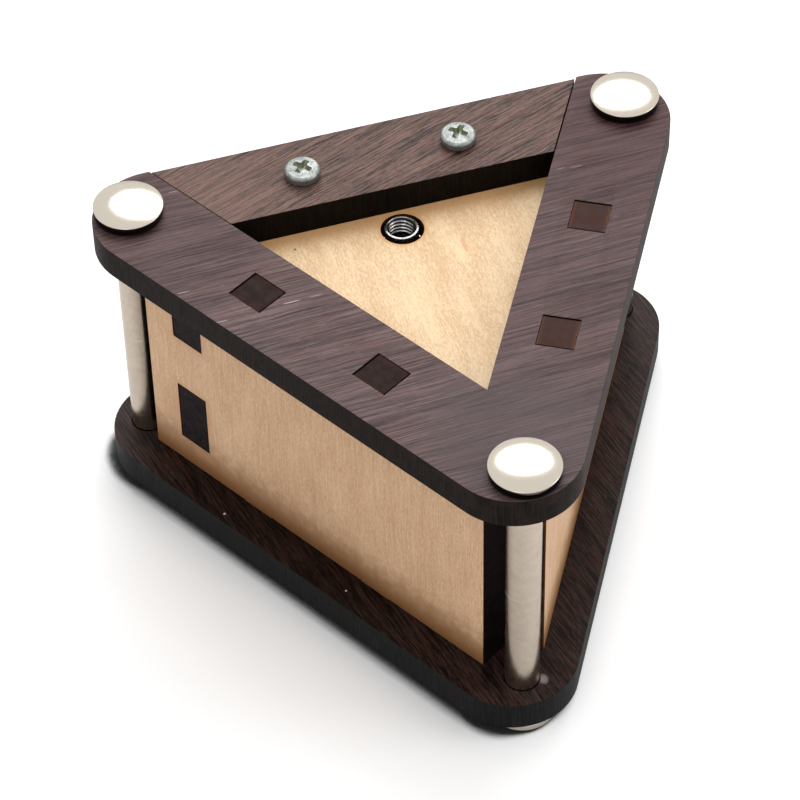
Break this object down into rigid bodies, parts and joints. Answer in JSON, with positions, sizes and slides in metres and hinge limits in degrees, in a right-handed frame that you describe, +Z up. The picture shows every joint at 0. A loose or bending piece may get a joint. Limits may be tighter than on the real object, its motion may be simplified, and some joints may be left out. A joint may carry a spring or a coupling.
{
  "type": "secret box",
  "caption": "Triangular wooden secret box with a recessed sliding lid, a threaded lock sleeve in the lid and domed metal corner posts that unscrew.",
  "frame": {"origin": "on the table, under the middle of the box's bounding box", "axes": "+Z up, +X along the lid's bar to the right, +Y the way the lid slides out"},
  "size_m": [0.1072, 0.096, 0.0647],
  "materials": {
    "base_wood": "dark wenge-like hardwood, oiled, charred laser-cut edges",
    "frame_wood": "grey-brown wenge-like hardwood, fine grain, charred edges",
    "bar_wood": "grey-brown wenge-like hardwood, grain at an angle",
    "wall_wood": "plain beech with upright grain, charred laser-cut edges",
    "back_wall_wood": "plain beech, charred laser-cut edges",
    "runner_wood": "plain beech strip",
    "lid_wood": "pale maple with fine flecks, scorched along its rear",
    "nickel": "nickel plated, satin",
    "stud_steel": "zinc plated thread",
    "lock_steel": "bright turned steel",
    "zinc_screw": "zinc plated"
  },
  "bodies": {
    "base": {"base_plate": "base_wood", "top_frame": "frame_wood", "left_wall": "wall_wood", "right_wall": "wall_wood", "back_wall": "back_wall_wood", "left_runner": "runner_wood", "right_runner": "runner_wood", "front_lower_sleeve": "nickel", "left_lower_sleeve": "nickel", "right_lower_sleeve": "nickel"},
    "lid": {"lid_panel": "lid_wood", "lid_bar": "bar_wood", "left_bar_screw": "zinc_screw", "right_bar_screw": "zinc_screw"},
    "lock": {"lock_sleeve": "lock_steel"},
    "front_stud": {"front_stud": "stud_steel"},
    "front_cap": {"front_upper_sleeve": "nickel"},
    "left_stud": {"left_stud": "stud_steel"},
    "left_cap": {"left_upper_sleeve": "nickel"},
    "right_stud": {"right_stud": "stud_steel"},
    "right_cap": {"right_upper_sleeve": "nickel"}
  },
  "joints": [
    {"name": "lid_slide", "type": "slide", "parent": "base", "child": "lid", "axis": [0, 1, 0], "range_m": [0, 0.06]},
    {"name": "lock_lift", "type": "slide", "parent": "lid", "child": "lock", "axis": [0, 0, 1], "range_m": [0, 0.012]},
    {"name": "front_post_rise", "type": "slide", "parent": "base", "child": "front_stud", "axis": [0, 0, 1], "range_m": [0, 0.0096]},
    {"name": "front_post_unscrew", "type": "hinge", "parent": "front_stud", "child": "front_cap", "pos_m": [0, -0.04169, 0.06215], "axis": [0, 0, 1], "range_deg": [0, 4320]},
    {"name": "left_post_rise", "type": "slide", "parent": "base", "child": "left_stud", "axis": [0, 0, 1], "range_m": [0, 0.0096]},
    {"name": "left_post_unscrew", "type": "hinge", "parent": "left_stud", "child": "left_cap", "pos_m": [-0.0465, 0.03885, 0.06215], "axis": [0, 0, 1], "range_deg": [0, 4320]},
    {"name": "right_post_rise", "type": "slide", "parent": "base", "child": "right_stud", "axis": [0, 0, 1], "range_m": [0, 0.0096]},
    {"name": "right_post_unscrew", "type": "hinge", "parent": "right_stud", "child": "right_cap", "pos_m": [0.0465, 0.03885, 0.06215], "axis": [0, 0, 1], "range_deg": [0, 4320]}
  ],
  "couplings": [
    {"joint": "front_post_unscrew", "follows": "front_post_rise", "rad_per_m": 7854},
    {"joint": "left_post_unscrew", "follows": "left_post_rise", "rad_per_m": 7854},
    {"joint": "right_post_unscrew", "follows": "right_post_rise", "rad_per_m": 7854}
  ]
}
